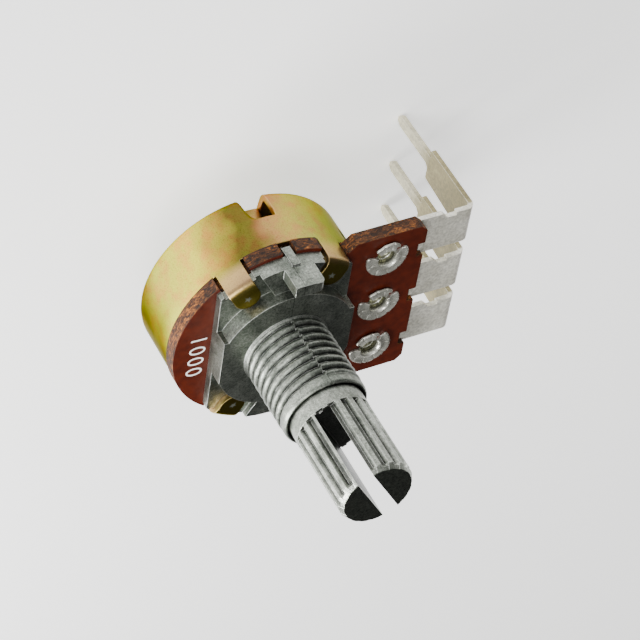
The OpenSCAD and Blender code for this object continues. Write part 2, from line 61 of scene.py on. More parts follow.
class Mat:
    """A Principled material with short calls for the nodes that feed it. Lengths are in millimetres."""

    def __init__(self, name):
        self.mat = bpy.data.materials.new(name)
        self.mat.use_nodes = True
        self.tree = self.mat.node_tree
        self.tree.nodes.clear()
        out = self.add("ShaderNodeOutputMaterial")
        self.bsdf = self.add("ShaderNodeBsdfPrincipled")
        self.link(self.bsdf, "BSDF", out, "Surface")
        self.coord = self.add("ShaderNodeTexCoord")

    def add(self, kind, **props):
        node = self.tree.nodes.new(kind)
        for key, value in props.items():
            setattr(node, key, value)
        return node

    def link(self, a, out, b, into):
        self.tree.links.new(a.outputs[out], b.inputs[into])

    def set(self, **values):
        names = {"metal": "Metallic", "spec": "Specular IOR Level", "tint": "Specular Tint"}
        for key, value in values.items():
            self.bsdf.inputs[names[key]].default_value = (*value, 1) if key == "tint" else value

    def points(self, scale=(1, 1, 1)):
        """Object coordinates in millimetres, stretched by scale."""
        node = self.add("ShaderNodeMapping")
        node.inputs["Scale"].default_value = [s / MM for s in scale]
        self.link(self.coord, "Object", node, "Vector")
        return node

    def noise(self, scale, detail=4.0, rough=0.55, stretch=(1, 1, 1), distort=0.0):
        node = self.add("ShaderNodeTexNoise")
        node.inputs["Scale"].default_value = scale
        node.inputs["Detail"].default_value = detail
        node.inputs["Roughness"].default_value = rough
        node.inputs["Distortion"].default_value = distort
        self.link(self.points(stretch), "Vector", node, "Vector")
        return node

    def ramp(self, source, out, stops):
        """A colour ramp; each stop is a place from 0 to 1 and a colour or a grey."""
        node = self.add("ShaderNodeValToRGB")
        els = node.color_ramp.elements
        while len(els) < len(stops):
            els.new(0.5)
        for el, (pos, col) in zip(els, stops):
            el.position = pos
            el.color = (*col, 1) if len(col) == 3 else (col[0], col[0], col[0], 1)
        self.link(source, out, node, "Fac")
        return node

    def math(self, op, *values):
        """A Math node; each value is a (node, output) or a number."""
        node = self.add("ShaderNodeMath", operation=op)
        for sock, value in zip(node.inputs, values):
            if isinstance(value, tuple):
                self.tree.links.new(value[0].outputs[value[1]], sock)
            else:
                sock.default_value = value
        return node

    def mix(self, fac, a, b, blend="MIX"):
        """A colour mix; each argument is a (node, output), a colour or a number."""
        node = self.add("ShaderNodeMix", data_type="RGBA", blend_type=blend)
        for sock, value in ((node.inputs[0], fac), (node.inputs[6], a), (node.inputs[7], b)):
            if isinstance(value, tuple) and hasattr(value[0], "outputs"):
                self.tree.links.new(value[0].outputs[value[1]], sock)
            elif isinstance(value, tuple):
                sock.default_value = (*value, 1)
            else:
                sock.default_value = value
        return node

    def color_from(self, node, out=MIXED):
        self.link(node, out, self.bsdf, "Base Color")

    def rough_from(self, source, low, high):
        node = self.add("ShaderNodeMapRange")
        node.inputs["To Min"].default_value = low
        node.inputs["To Max"].default_value = high
        self.link(source, "Fac", node, "Value")
        self.link(node, "Result", self.bsdf, "Roughness")

    def bump(self, layers, edge=0.0):
        """layers: (node, output, height, strength). edge is the radius that sharp edges seem to have."""
        last = None
        if edge:
            last = self.add("ShaderNodeBevel", samples=6)
            last.inputs["Radius"].default_value = edge * MM
        for source, out, height, strength in layers:
            node = self.add("ShaderNodeBump")
            node.inputs["Distance"].default_value = height * MM
            node.inputs["Strength"].default_value = strength
            self.link(source, out, node, "Height")
            if last:
                self.link(last, "Normal", node, "Normal")
            last = node
        self.link(last, "Normal", self.bsdf, "Normal")

    def edges(self, radius):
        """White along sharp edges, black from that radius on."""
        round_off = self.add("ShaderNodeBevel", samples=6)
        round_off.inputs["Radius"].default_value = radius * MM
        shape = self.add("ShaderNodeNewGeometry")
        dot = self.add("ShaderNodeVectorMath", operation="DOT_PRODUCT")
        self.link(round_off, "Normal", dot, 0)
        self.link(shape, "Normal", dot, 1)
        return self.ramp(dot, "Value", [(0.80, (1.0,)), (0.985, (0.0,))])

    def flatness(self):
        """How far the surface faces along the shaft, forward or back, from 0 to 1."""
        sep = self.add("ShaderNodeSeparateXYZ")
        self.link(self.coord, "Normal", sep, "Vector")
        return self.math("ABSOLUTE", (sep, "Z"))

    def place(self):
        """The point's X, Y and Z as separate outputs."""
        sep = self.add("ShaderNodeSeparateXYZ")
        self.link(self.points(), "Vector", sep, "Vector")
        return sep

    def radius(self):
        """Distance from the shaft's axis."""
        flat = self.add("ShaderNodeVectorMath", operation="MULTIPLY")
        flat.inputs[1].default_value = (1.0, 1.0, 0.0)
        self.link(self.points(), "Vector", flat, 0)
        length = self.add("ShaderNodeVectorMath", operation="LENGTH")
        self.link(flat, "Vector", length, 0)
        return length


# Materials


def tinned(m, color, dark, rough, metal, depth, fine=4.0):
    """Tin coat with soft clouds and flecks of the scale fine. Returns its colour, for more tints."""
    m.set(metal=metal)
    mid = m.noise(fine, 5.0, 0.65)
    base = m.ramp(m.noise(0.5, 3.0, 0.6), "Fac", [(0.3, dark), (0.7, color)])
    fleck = m.ramp(mid, "Fac", [(0.36, (0.66, 0.65, 0.62)), (0.62, (1.10, 1.10, 1.08))])
    m.rough_from(mid, rough - 0.08, rough + 0.12)
    m.bump([(mid, "Fac", depth, 0.5), (m.noise(22.0, 3.0, 0.7), "Fac", 0.5 * depth, 0.5)], 0.05)
    return m.mix(0.8, (base, "Color"), (fleck, "Color"), "MULTIPLY")


def make_strip():
    """Terminal strip: bright in front and at the pins, with yellowish shade painted on the leg between
    them, beside the cover.
    """
    m = Mat("tin_strip")
    color = tinned(m, (0.90, 0.88, 0.80), (0.66, 0.64, 0.55), 0.36, 0.40, 0.012)
    level = m.math("MULTIPLY_ADD", (m.place(), "Z"), 1 / PIN_DEPTH, 1.0)
    # stops run from the tips of the pins at 0 to the mounting face at 1; the dark yellowish stops between
    # them are painted shade on the leg beside the cover
    leg_shade = m.ramp(level, 0, [
        (0.24, (0.80, 0.77, 0.64)), (0.36, (0.44, 0.39, 0.23)), (0.70, (0.27, 0.235, 0.12)),
        (0.745, (0.44, 0.40, 0.25)), (0.755, (1.0, 1.0, 1.0)),
    ])
    color = m.mix(1.0, (color, MIXED), (leg_shade, "Color"), "MULTIPLY")
    m.color_from(m.mix((m.edges(0.06), "Color"), (color, MIXED), (0.90, 0.88, 0.78)))
    return m


def make_tin():
    """Eyelets: bright tin over the wafer, with painted shade dark down in their cups and lighter again at
    the cups' floor.
    """
    m = Mat("bright_tin")
    color = tinned(m, (0.90, 0.90, 0.84), (0.66, 0.66, 0.60), 0.24, 0.72, 0.002, 1.3)
    # stops run from 0.24 mm behind the wafer's front at 0 to 0.16 mm before it at 1: painted shade in the
    # cups, darkest on their walls and lighter at their floor
    level = m.math("MULTIPLY_ADD", (m.place(), "Z"), 2.5, 5.6)
    shade = m.ramp(level, 0, [
        (0.0, (0.42, 0.42, 0.32)), (0.40, (0.16, 0.16, 0.12)), (0.72, (0.9, 0.9, 0.88)),
    ])
    color = m.mix(1.0, (color, MIXED), (shade, "Color"), "MULTIPLY")
    m.color_from(m.mix((m.edges(0.05), "Color"), (color, MIXED), (0.90, 0.90, 0.84)))
    return m


def make_chromate():
    """Yellow passivated steel: tints run round the cover, with pink and green interference, and painted
    shade, a painted reflection and a painted highlight among the colours round it.
    """
    m = Mat("chromate")
    m.set(metal=1.0, tint=(0.55, 0.5, 0.25))
    sep = m.place()
    turn = m.math("ARCTAN2", (sep, "Y"), (sep, "X"))
    turn = m.math("MULTIPLY_ADD", (turn, 0), 1 / TAU, 0.5)
    shift = m.math("MULTIPLY_ADD", (m.noise(0.4, 2.0, 0.5), "Fac"), 0.05, -0.025)
    lean = m.math("MULTIPLY_ADD", (sep, "Z"), -0.0056, -0.029)
    turn = m.math("ADD", (m.math("ADD", (turn, 0), (shift, 0)), 0), (lean, 0))
    turn = m.math("FRACT", (turn, 0))
    # stops are angles round the shaft, from -180 degrees at 0 to 180 degrees at 1. Besides the chromate's
    # own tints they hold painted light: painted shade at the far left, from 0.94 over 1.00 to 0.03, a dark
    # painted reflection from 0.772 to 0.80, and a painted highlight in the bright yellow at 0.87
    tint = m.ramp(turn, 0, [
        (0.00, (0.16, 0.16, 0.028)), (0.03, (0.045, 0.048, 0.009)), (0.13, (0.26, 0.26, 0.05)),
        (0.53, (0.20, 0.27, 0.13)), (0.61, (0.24, 0.31, 0.14)), (0.66, (0.32, 0.34, 0.09)),
        (0.71, (0.42, 0.36, 0.085)), (0.745, (0.36, 0.23, 0.08)), (0.772, (0.13, 0.11, 0.020)),
        (0.80, (0.11, 0.10, 0.016)), (0.825, (0.30, 0.25, 0.035)), (0.87, (0.66, 0.58, 0.075)),
        (0.94, (0.50, 0.49, 0.075)), (1.00, (0.16, 0.16, 0.028)),
    ])
    pink = m.ramp(m.noise(0.9, 3.0, 0.55), "Fac", [(0.44, (0.0,)), (0.66, (0.8,))])
    mixed = m.mix((pink, "Color"), (tint, "Color"), (1.15, 0.66, 1.1), "MULTIPLY")
    # stops run from 4 mm behind the mounting face at 0 to that face at 1: the wall's rim and the tabs
    level = m.math("MULTIPLY_ADD", (sep, "Z"), 0.25, 1.0)
    share = m.ramp(level, 0, [(0.20, (0.0,)), (0.42, (0.75,)), (0.74, (0.75,)), (0.775, (0.9,))])
    bent = m.ramp(level, 0, [
        (0.45, (0.52, 0.34, 0.17)), (0.70, (0.42, 0.26, 0.16)), (0.785, (0.15, 0.12, 0.03)),
    ])
    mixed = m.mix((share, "Color"), (mixed, MIXED), (bent, "Color"))
    grain = m.noise(11.0, 4.0, 0.7)
    fleck = m.ramp(grain, "Fac", [
        (0.30, (0.45, 0.42, 0.35)), (0.46, (0.94, 0.93, 0.82)), (0.7, (1.12, 1.12, 0.98)),
    ])
    color = m.mix(0.85, (mixed, MIXED), (fleck, "Color"), "MULTIPLY")
    m.color_from(m.mix((m.edges(0.1), "Color"), (color, MIXED), (0.50, 0.35, 0.16)))
    m.rough_from(m.noise(3.0, 5.0, 0.6), 0.24, 0.38)
    m.bump([(m.noise(1.0, 2.0, 0.5), "Fac", 0.03, 0.4), (grain, "Fac", 0.006, 0.5)], 0.09)
    return m


def make_laminate():
    """Red-brown paper laminate: smooth faces, torn fibrous tan edges in layers."""
    m = Mat("laminate")
    clouds = m.noise(1.6, 5.0, 0.65)
    face = m.ramp(clouds, "Fac", [(0.3, (0.045, 0.0058, 0.002)), (0.7, (0.088, 0.012, 0.0035))])
    fibre = m.noise(1.6, 8.0, 0.78, (1.0, 1.0, 2.6), 1.2)
    edge = m.ramp(fibre, "Fac", [
        (0.36, (0.008, 0.003, 0.001)), (0.47, (0.030, 0.010, 0.003)), (0.53, (0.085, 0.028, 0.006)),
        (0.60, (0.27, 0.085, 0.012)), (0.70, (0.46, 0.17, 0.03)),
    ])
    patch = m.ramp(m.noise(0.55, 4.0, 0.65), "Fac", [(0.38, (0.45,)), (0.62, (1.5,))])
    edge = m.mix(1.0, (edge, "Color"), (patch, "Color"), "MULTIPLY")
    flat = m.math("GREATER_THAN", (m.flatness(), 0), 0.6)
    m.color_from(m.mix((flat, 0), (edge, MIXED), (face, "Color")))
    # rough edges, smoother faces
    m.link(m.math("MULTIPLY_ADD", (flat, 0), -0.36, 0.76), 0, m.bsdf, "Roughness")
    m.set(spec=0.3)
    torn = m.math("MULTIPLY", (fibre, "Fac"), (m.math("SUBTRACT", 1.0, (flat, 0)), 0))
    m.bump([(torn, 0, 0.16, 0.9), (clouds, "Fac", 0.01, 0.3)], 0.06)
    return m


def make_zinc(name, low, high, groove_shade_and_highlight, tip=None):
    """Die-cast zinc: fine grained grey, painted shade in the low forms, painted highlight on the crests
    and above them, and bright worn edges.

    The third argument is a radius in the bottom of the grooves, where the painted shade is darkest, one on
    their crests, where the painted highlight is, and the height where they end, above which the metal is
    painted lighter still.
    From the height tip on the metal is dark and sawn. A piece with no tip has a parting line at x = 0."""
    m = Mat(name)
    m.set(metal=0.92)
    grain = m.noise(5.5, 6.0, 0.8)
    speck = m.noise(14.0, 3.0, 0.75)
    base = m.ramp(m.noise(0.7, 4.0, 0.6), "Fac", [(0.3, low), (0.7, high)])
    mottle = m.ramp(grain, "Fac", [(0.34, (0.40,)), (0.50, (0.95,)), (0.66, (1.7,))])
    color = m.mix(0.9, (base, "Color"), (mottle, "Color"), "MULTIPLY")
    dots = m.ramp(speck, "Fac", [(0.35, (0.30,)), (0.45, (1.0,)), (0.58, (1.0,)), (0.70, (1.7,))])
    color = m.mix(0.85, (color, MIXED), (dots, "Color"), "MULTIPLY")

    bottom, crest, end = groove_shade_and_highlight
    # painted shade and highlight: the colour is multiplied from 0.30 at the groove's bottom to 1.25 on its
    # crest, and by 1.5 above the grooves' end, a painted highlight on the casting's mouth and the shaft's
    # tip chamfer
    depth = m.add("ShaderNodeMapRange", interpolation_type="SMOOTHSTEP")
    depth.inputs["From Min"].default_value = bottom
    depth.inputs["From Max"].default_value = crest
    depth.inputs["To Min"].default_value = 0.30
    depth.inputs["To Max"].default_value = 1.25
    m.link(m.radius(), "Value", depth, "Value")
    beyond = m.math("MULTIPLY", (m.math("GREATER_THAN", (m.place(), "Z"), end), 0), 1.5)
    shade = m.math("MAXIMUM", (depth, "Result"), (beyond, 0))
    color = m.mix(1.0, (color, MIXED), (shade, 0), "MULTIPLY")

    if tip is None:
        off_line = m.math("ABSOLUTE", (m.place(), "X"))
        seam = m.ramp(m.math("MULTIPLY", (off_line, 0), 8.0), 0, [(0.10, (0.45,)), (0.38, (1.0,))])
        color = m.mix(1.0, (color, MIXED), (seam, "Color"), "MULTIPLY")
    worn = m.math("MULTIPLY", (m.edges(0.09), "Color"), (grain, "Fac"))
    color = m.mix((worn, 0), (color, MIXED), (0.85, 0.87, 0.82))
    if tip is not None:
        sawn = m.math("GREATER_THAN", (m.place(), "Z"), tip)
        dark = m.ramp(grain, "Fac", [(0.36, (0.012, 0.014, 0.011)), (0.64, (0.11, 0.12, 0.10))])
        color = m.mix((sawn, 0), (color, MIXED), (dark, "Color"))
    m.color_from(color)
    m.rough_from(grain, 0.24, 0.42)
    m.bump([(grain, "Fac", 0.03, 0.6), (speck, "Fac", 0.012, 0.6)], 0.06)
    return m


def make_plain(name, color, rough, metal=0.0, grain=12.0, depth=0.01, edge=0.04, vary=0.12):
    """One colour with a fine grain, which varies by the share vary."""
    m = Mat(name)
    m.set(metal=metal)
    n = m.noise(grain, 4.0, 0.6)
    low = tuple(c * (1 - vary) for c in color)
    high = tuple(min(1.0, c * (1 + vary)) for c in color)
    m.color_from(m.ramp(n, "Fac", [(0.3, low), (0.7, high)]), "Color")
    m.rough_from(n, rough - 0.06, rough + 0.08)
    m.bump([(n, "Fac", depth, 0.5)], edge)
    return m


def make_light_table():
    """Pale board that glows, as a light table does, and lights the part's sides from below."""
    m = make_plain("floor", (0.85, 0.85, 0.85), 0.9, grain=0.2, depth=0.0, edge=0.0, vary=0.005)
    m.bsdf.inputs["Emission Color"].default_value = (1.0, 1.0, 0.98, 1)
    m.bsdf.inputs["Emission Strength"].default_value = 0.9
    return m


# radii and height for the painted shade in the grooves and the painted highlight on their crests and above
# them
THREAD_SHADE_AND_HIGHLIGHT = (3.22, 3.46, 6.15)
KNURL_SHADE_AND_HIGHLIGHT = (2.68, 2.95, TIP_Z - 0.6)
MATERIALS = {
    "chromate": make_chromate(),
    "casting": make_zinc("casting", (0.085, 0.095, 0.08), (0.22, 0.235, 0.205), THREAD_SHADE_AND_HIGHLIGHT),
    "shaft": make_zinc("shaft_metal", (0.12, 0.13, 0.11), (0.30, 0.315, 0.28), KNURL_SHADE_AND_HIGHLIGHT, TIP_Z - 0.05),
    "laminate": make_laminate(),
    "strip": make_strip(),
    "tin": make_tin(),
    "carbon": make_plain("carbon", (0.03, 0.03, 0.032), 0.62),
    "silver": make_plain("silver_paste", (0.58, 0.58, 0.55), 0.45, 0.5),
    "spring": make_plain("spring_steel", (0.36, 0.36, 0.38), 0.35, 0.95),
    "rotor": make_plain("moulded", (0.66, 0.62, 0.50), 0.5, grain=5.0),
    "bronze": make_plain("bronze", (0.72, 0.48, 0.22), 0.3, 0.95),
    "ink": make_plain("ink", (0.85, 0.84, 0.80), 0.6, grain=20.0, edge=0.0, vary=0.06),
    "mark": make_plain("struck_metal", (0.20, 0.21, 0.17), 0.4, 0.8, grain=14.0, depth=0.02, edge=0.0),
    "floor": make_light_table(),
}

NODE_MATERIALS = {
    "rear_cover": "chromate", "bushing_plate": "casting", "wafer": "laminate",
    "resistive_track": "carbon", "end_contacts": "silver", "collector_track": "silver",
    "terminal_1": "strip", "terminal_2": "strip", "terminal_3": "strip",
    "eyelet_1": "tin", "eyelet_2": "tin", "eyelet_3": "tin",
    "shaft": "shaft", "retaining_ring": "spring", "carrier": "rotor", "wiper": "bronze",
}


def dress(obj, key):
    obj.data.materials.clear()
    obj.data.materials.append(MATERIALS[key].mat)


for node_name, key in NODE_MATERIALS.items():
    dress(NODES[node_name], key)


# Mesh helpers, with all places in millimetres


def add_object(name, data):
    obj = bpy.data.objects.new(name, data)
    bpy.context.scene.collection.objects.link(obj)
    return obj


def put(bm, x, y, z):
    return bm.verts.new(Vector((x, y, z)) * MM)


def smooth(obj, angle):
    """Smooth shading, except across edges that turn by more degrees than angle."""
    mesh = obj.data
    mesh.polygons.foreach_set("use_smooth", [True] * len(mesh.polygons))
    mesh.set_sharp_from_angle(angle=math.radians(angle))


def new_object(name, verts, faces, smooth_angle=35):
    mesh = bpy.data.meshes.new(name)
    mesh.from_pydata([Vector(v) * MM for v in verts], [], faces)
    mesh.validate()
    obj = add_object(name, mesh)
    smooth(obj, smooth_angle)
    return obj


def weld(mesh, turn_outward=False):
    bm = bmesh.new()
    bm.from_mesh(mesh)
    bmesh.ops.remove_doubles(bm, verts=bm.verts, dist=WELD)
    if turn_outward:
        bmesh.ops.recalc_face_normals(bm, faces=bm.faces)
    bm.to_mesh(mesh)
    bm.free()


def copy_of(node, name):
    """The CAD node's mesh as a new object, welded and without its stored normals."""
    obj = add_object(name, NODES[node].data.copy())
    stored = obj.data.attributes.get("custom_normal")
    if stored:
        obj.data.attributes.remove(stored)
    weld(obj.data)
    return obj


def settle(obj):
    """Keeps the shape that the modifiers give and drops the modifiers."""
    bpy.context.view_layer.update()
    shape = bpy.data.meshes.new_from_object(obj.evaluated_get(bpy.context.evaluated_depsgraph_get()))
    obj.modifiers.clear()
    obj.data = shape


# Drawn cover

CAN_R, SHEET, CORNER, HUB_R = 8.3, 0.5, 0.7, 5.4
CAN_BACK, TAB_TOP = (corner.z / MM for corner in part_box("rear_cover"))
CAN_FRONT = WAFER_BACK
TAB_END, TAB_HALF, TAB_BEND = 5.9, 1.05, 0.7
TAB_ANGLES = (60, 120, 240, 300)
TAB_ACROSS = [TAB_HALF * math.sin(math.pi / 2 * i / 6) for i in range(-6, 7)]
OPENING_Y, OPENING_Z = (-5.55, 5.25), CAN_FRONT - 2.4
OPENING_ANGLES = [math.asin(y / CAN_R) for y in OPENING_Y]
# the stop's slope starts at the first x, reaches its depth at the second and is sheared off at the third
STOP_X, STOP_R, STOP_Z = (-1.15, -0.1, 1.05), 6.7, CAN_BACK + 2.6
STOP_RAMP, STOP_CORNER, STOP_ROWS, STOP_COLUMNS = 0.7, 0.3, 30, 22
SHEAR_ANGLE, SLOPE_ANGLE = math.acos(STOP_X[2] / CAN_R), math.acos(STOP_X[0] / CAN_R)
SHEAR_GAP = 0.015  # in radians, as the next two, where tabs and stop have columns of their own
TAB_REACH, STOP_REACH = 0.14, 0.02
OPENING_ROWS, BACK_RINGS = 2, (4.0, 2.5, 1.0)


def smoothstep(t):
    t = min(1.0, max(0.0, t))
    return t * t * (3 - 2 * t)


def resample(points, count):
    """The same path with evenly spaced points."""
    steps = [0.0]
    for (r0, z0), (r1, z1) in zip(points, points[1:]):
        steps.append(steps[-1] + math.hypot(r1 - r0, z1 - z0))
    marks = np.linspace(0, steps[-1], count)
    return list(zip(*(np.interp(marks, steps, values) for values in zip(*points))))


def corner_arc(r, z, radius, count=6):
    """Quarter turn from a wall that faces outward to a face that looks back."""
    turns = [math.pi / 2 * i / count for i in range(count + 1)]
    return [(r - radius + radius * math.cos(t), z + radius - radius * math.sin(t)) for t in turns]


def cover_profiles():
    """Radius and height from the wall over the corner to the hub, plain and with the stop pressed in."""
    hub = (HUB_R, CAN_BACK)
    plain = [(CAN_R, STOP_Z)] + corner_arc(CAN_R, CAN_BACK, CORNER) + [hub]
    ramp = [(CAN_R - (CAN_R - STOP_R) * smoothstep(i / 8), STOP_Z - STOP_RAMP * i / 8) for i in range(9)]
    pressed = ramp + corner_arc(STOP_R, CAN_BACK, STOP_CORNER) + [hub]
    return resample(plain, STOP_ROWS), resample(pressed, STOP_ROWS)


def stop_share(angle):
    """How far the wall is pressed in at an angle, from 0 to 1."""
    x = CAN_R * math.cos(angle)
    if math.sin(angle) <= 0 or x > STOP_X[2]:
        return 0.0
    return smoothstep((x - STOP_X[0]) / (STOP_X[1] - STOP_X[0]))


def cover_columns():
    """Angle and stop_share of the cup's columns, and the index of the plain one at the shear."""
    marks = {math.radians(a) for a in range(-180, 180, 3)}
    marks.update(OPENING_ANGLES)
    for turn in TAB_ANGLES:
        middle = math.remainder(math.radians(turn), TAU)
        marks = {a for a in marks if abs(a - middle) > TAB_REACH}
        marks.update(middle + math.asin(t / CAN_R) for t in TAB_ACROSS)
    marks = {a for a in marks if not SHEAR_ANGLE - STOP_REACH < a < SLOPE_ANGLE + STOP_REACH}
    span = SLOPE_ANGLE - SHEAR_ANGLE
    marks.update(SHEAR_ANGLE + span * i / STOP_COLUMNS for i in range(STOP_COLUMNS + 1))
    columns = [(a, stop_share(a)) for a in sorted(marks)]
    split = next(i for i, (a, _) in enumerate(columns) if abs(a - SHEAR_ANGLE) < 1e-9)
    columns.insert(split, (SHEAR_ANGLE, 0.0))
    return columns, split


def build_cup(bm):
    """Wall and back as a grid of columns, open over the terminals and along the shear."""
    plain, pressed = cover_profiles()
    columns, split = cover_columns()
    head = [CAN_FRONT, CAN_FRONT - 1.2, OPENING_Z, 0.5 * (OPENING_Z + STOP_Z)]
    grid = []
    for index, (angle, share) in enumerate(columns):
        column = [(CAN_R, z, angle) for z in head]
        for row in range(STOP_ROWS):
            (r0, z0), (r1, z1) = plain[row], pressed[row]
            turn = angle - SHEAR_GAP * min(1.0, row / 3) if index == split else angle
            column.append((r0 + (r1 - r0) * share, z0 + (z1 - z0) * share, turn))
        column += [(r, CAN_BACK, angle) for r in BACK_RINGS]
        grid.append([put(bm, r * math.cos(t), r * math.sin(t), z) for r, z, t in column])
    middle = put(bm, 0, 0, CAN_BACK)
    for i, column in enumerate(grid):
        beside = grid[(i + 1) % len(grid)]
        in_opening = OPENING_ANGLES[0] - 1e-6 < columns[i][0] < OPENING_ANGLES[1] - 1e-6
        for j in range(len(column) - 1):
            if (i == split and j >= len(head) - 1) or (in_opening and j < OPENING_ROWS):
                continue
            bm.faces.new((column[j], column[j + 1], beside[j + 1], beside[j]))
        bm.faces.new((column[-1], middle, beside[-1]))


def build_tab(bm, turn):
    """A strip that runs on from the wall, bends inward and has a round end."""
    cos, sin = math.cos(math.radians(turn)), math.sin(math.radians(turn))
    bend_z = TAB_TOP - TAB_BEND
    rows = [(CAN_R, CAN_FRONT), (CAN_R, 0.5 * (CAN_FRONT + bend_z)), (CAN_R, bend_z)]
    for i in range(1, 8):
        a = math.pi / 2 * i / 7
        rows.append((CAN_R - TAB_BEND + TAB_BEND * math.cos(a), bend_z + TAB_BEND * math.sin(a)))
    strip = []
    for t in TAB_ACROSS:
        line = [(math.sqrt(r * r - t * t), z) for r, z in rows]
        fold, tip = line[-1][0], TAB_END + TAB_HALF - math.sqrt(max(0.0, TAB_HALF ** 2 - t * t))
        line += [(fold + (tip - fold) * i / 6, TAB_TOP) for i in range(1, 7)]
        strip.append([put(bm, x * cos - t * sin, x * sin + t * cos, z) for x, z in line])
    for a, b in zip(strip, strip[1:]):
        for j in range(len(a) - 1):
            bm.faces.new((a[j], b[j], b[j + 1], a[j + 1]))


def make_cover():
    """One drawn sheet: cup with a pressed-in stop that is sheared on one side, and four folded tabs."""
    bm = bmesh.new()
    build_cup(bm)
    for turn in TAB_ANGLES:
        build_tab(bm, turn)
    bmesh.ops.remove_doubles(bm, verts=bm.verts, dist=WELD)
    bmesh.ops.dissolve_degenerate(bm, edges=bm.edges, dist=WELD)
    bmesh.ops.recalc_face_normals(bm, faces=bm.faces)
    if sum(f.normal.dot(f.calc_center_median().normalized()) for f in bm.faces) < 0:
        bmesh.ops.reverse_faces(bm, faces=bm.faces)
    mesh = bpy.data.meshes.new("drawn_cover")
    bm.to_mesh(mesh)
    bm.free()
    obj = add_object("drawn_cover", mesh)
    sheet = obj.modifiers.new("sheet", "SOLIDIFY")
    sheet.thickness = SHEET * MM
    sheet.offset = -1
    sheet.use_even_offset = False
    edge = obj.modifiers.new("edge", "BEVEL")
    edge.width = 0.06 * MM
    edge.segments = 2
    edge.limit_method = "ANGLE"
    edge.angle_limit = math.radians(40)
    settle(obj)
    smooth(obj, 50)
    dress(obj, "chromate")
    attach(obj, "housing")
    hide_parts("rear_cover")


# Bushing with its thread

MOUTH_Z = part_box("bushing_plate")[1].z / MM
BUSH_R, BAND_R, ROOT_R, STEM_R, BORE_R = 3.5, 3.43, 3.14, 3.1, 3.03
PITCH, THREAD_START, THREAD_END = 0.75, 0.12, 6.05
MOULD_SHIFT = 0.16  # share of the pitch that each mould half is off
AROUND, THREAD_ROWS = 160, 150


def thread_radius(angle, z):
    """Radius of the cast thread: worn crests, a parting line and mould halves that don't quite meet."""
    if z < THREAD_START:
        return BUSH_R + 0.01
    x, y = math.cos(angle), math.sin(angle)
    half = 1 if x > 0 else -1
    phase = z / PITCH - angle / TAU + half * MOULD_SHIFT
    fade = min(1.0, max(0.0, (z - THREAD_START) / 0.3)) * min(1.0, max(0.0, (THREAD_END - z) / 0.25))
    flash = 0.06 * math.exp(-(x / 0.02) ** 2) * (0.5 + 0.5 * math.sin(31 * z + 3 * half))
    wear = noise.noise(Vector((9 * x, 9 * y, 4 * z)))
    rough = noise.noise(Vector((34 * x, 34 * y, 14 * z)))
    crest = BUSH_R - 0.025 - 0.045 * max(0.0, wear) - 0.012 * rough
    r = ROOT_R + (crest - ROOT_R) * math.sin(math.pi * (phase % 1.0)) ** 0.75
    return BAND_R + (r - BAND_R) * fade + flash * fade


def make_bushing():
    """The casting's own mesh, with the plain stem exchanged for the cast thread."""
    obj = copy_of("bushing_plate", "threaded_bushing_plate")
    bm = bmesh.new()
    bm.from_mesh(obj.data)
    low, high = STEM_R * MM, (BUSH_R + 0.02) * MM
    stem = [f for f in bm.faces
            if all(low < math.hypot(v.co.x, v.co.y) < high and v.co.z > -1e-6 for v in f.verts)]
    bmesh.ops.delete(bm, geom=stem, context="FACES")
    turns = [TAU * i / AROUND for i in range(AROUND)]
    heights = [(MOUTH_Z - 0.28) * j / THREAD_ROWS for j in range(THREAD_ROWS + 1)]
    rings = [[(thread_radius(a, z), z) for a in turns] for z in heights]
    # the rounded mouth, in to the bore
    for r, drop in ((BUSH_R - 0.1, 0.16), (BUSH_R - 0.2, 0.03), (BUSH_R - 0.3, 0.0), (BORE_R, 0.0)):
        rings.append([(r, MOUTH_Z - drop)] * AROUND)
    grid = []
    for ring in rings:
        grid.append([put(bm, r * math.cos(a), r * math.sin(a), z) for a, (r, z) in zip(turns, ring)])
    for a, b in zip(grid, grid[1:]):
        for i in range(AROUND):
            k = (i + 1) % AROUND
            bm.faces.new((a[i], a[k], b[k], b[i]))
    bm.to_mesh(obj.data)
    bm.free()
    smooth(obj, 32)
    flats = obj.modifiers.new("flats", "WEIGHTED_NORMAL")
    flats.weight = 100
    flats.keep_sharp = True
    dress(obj, "casting")
    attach(obj, "housing")
    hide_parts("bushing_plate")


# Eyelets with petals

EYE_X, EYE_Y, EYE_STEP = 8.8, -0.15, 5.0
# for each eyelet's two petals: first angle and sweep in degrees, reach, lift, and a phase of its waves
PETALS = {
    1: [(165, 225, 1.80, 0.02, 0.3), (52, 84, 1.62, 0.14, 1.1)],
    2: [(161, 225, 1.80, 0.02, 1.9), (48, 84, 1.62, 0.14, 2.3)],
    3: [(179, 225, 1.80, 0.02, 2.9), (66, 84, 1.62, 0.14, 3.7)],
}
LONG_CREASES, SHORT_CREASES = (0.17, 0.34, 0.5, 0.64, 0.82), (0.3, 0.66)
# radius and height over the wafer's front: the cup's floor, the tube and the rear head
TUBE = [
    (0.0, -0.85), (0.3, -0.82), (0.55, -0.7), (0.64, -0.45), (0.84, -0.4), (0.84, -1.62),
    (1.25, -1.62), (1.35, -1.68), (1.35, -1.76), (1.25, -1.8), (0.0, -1.8),
]


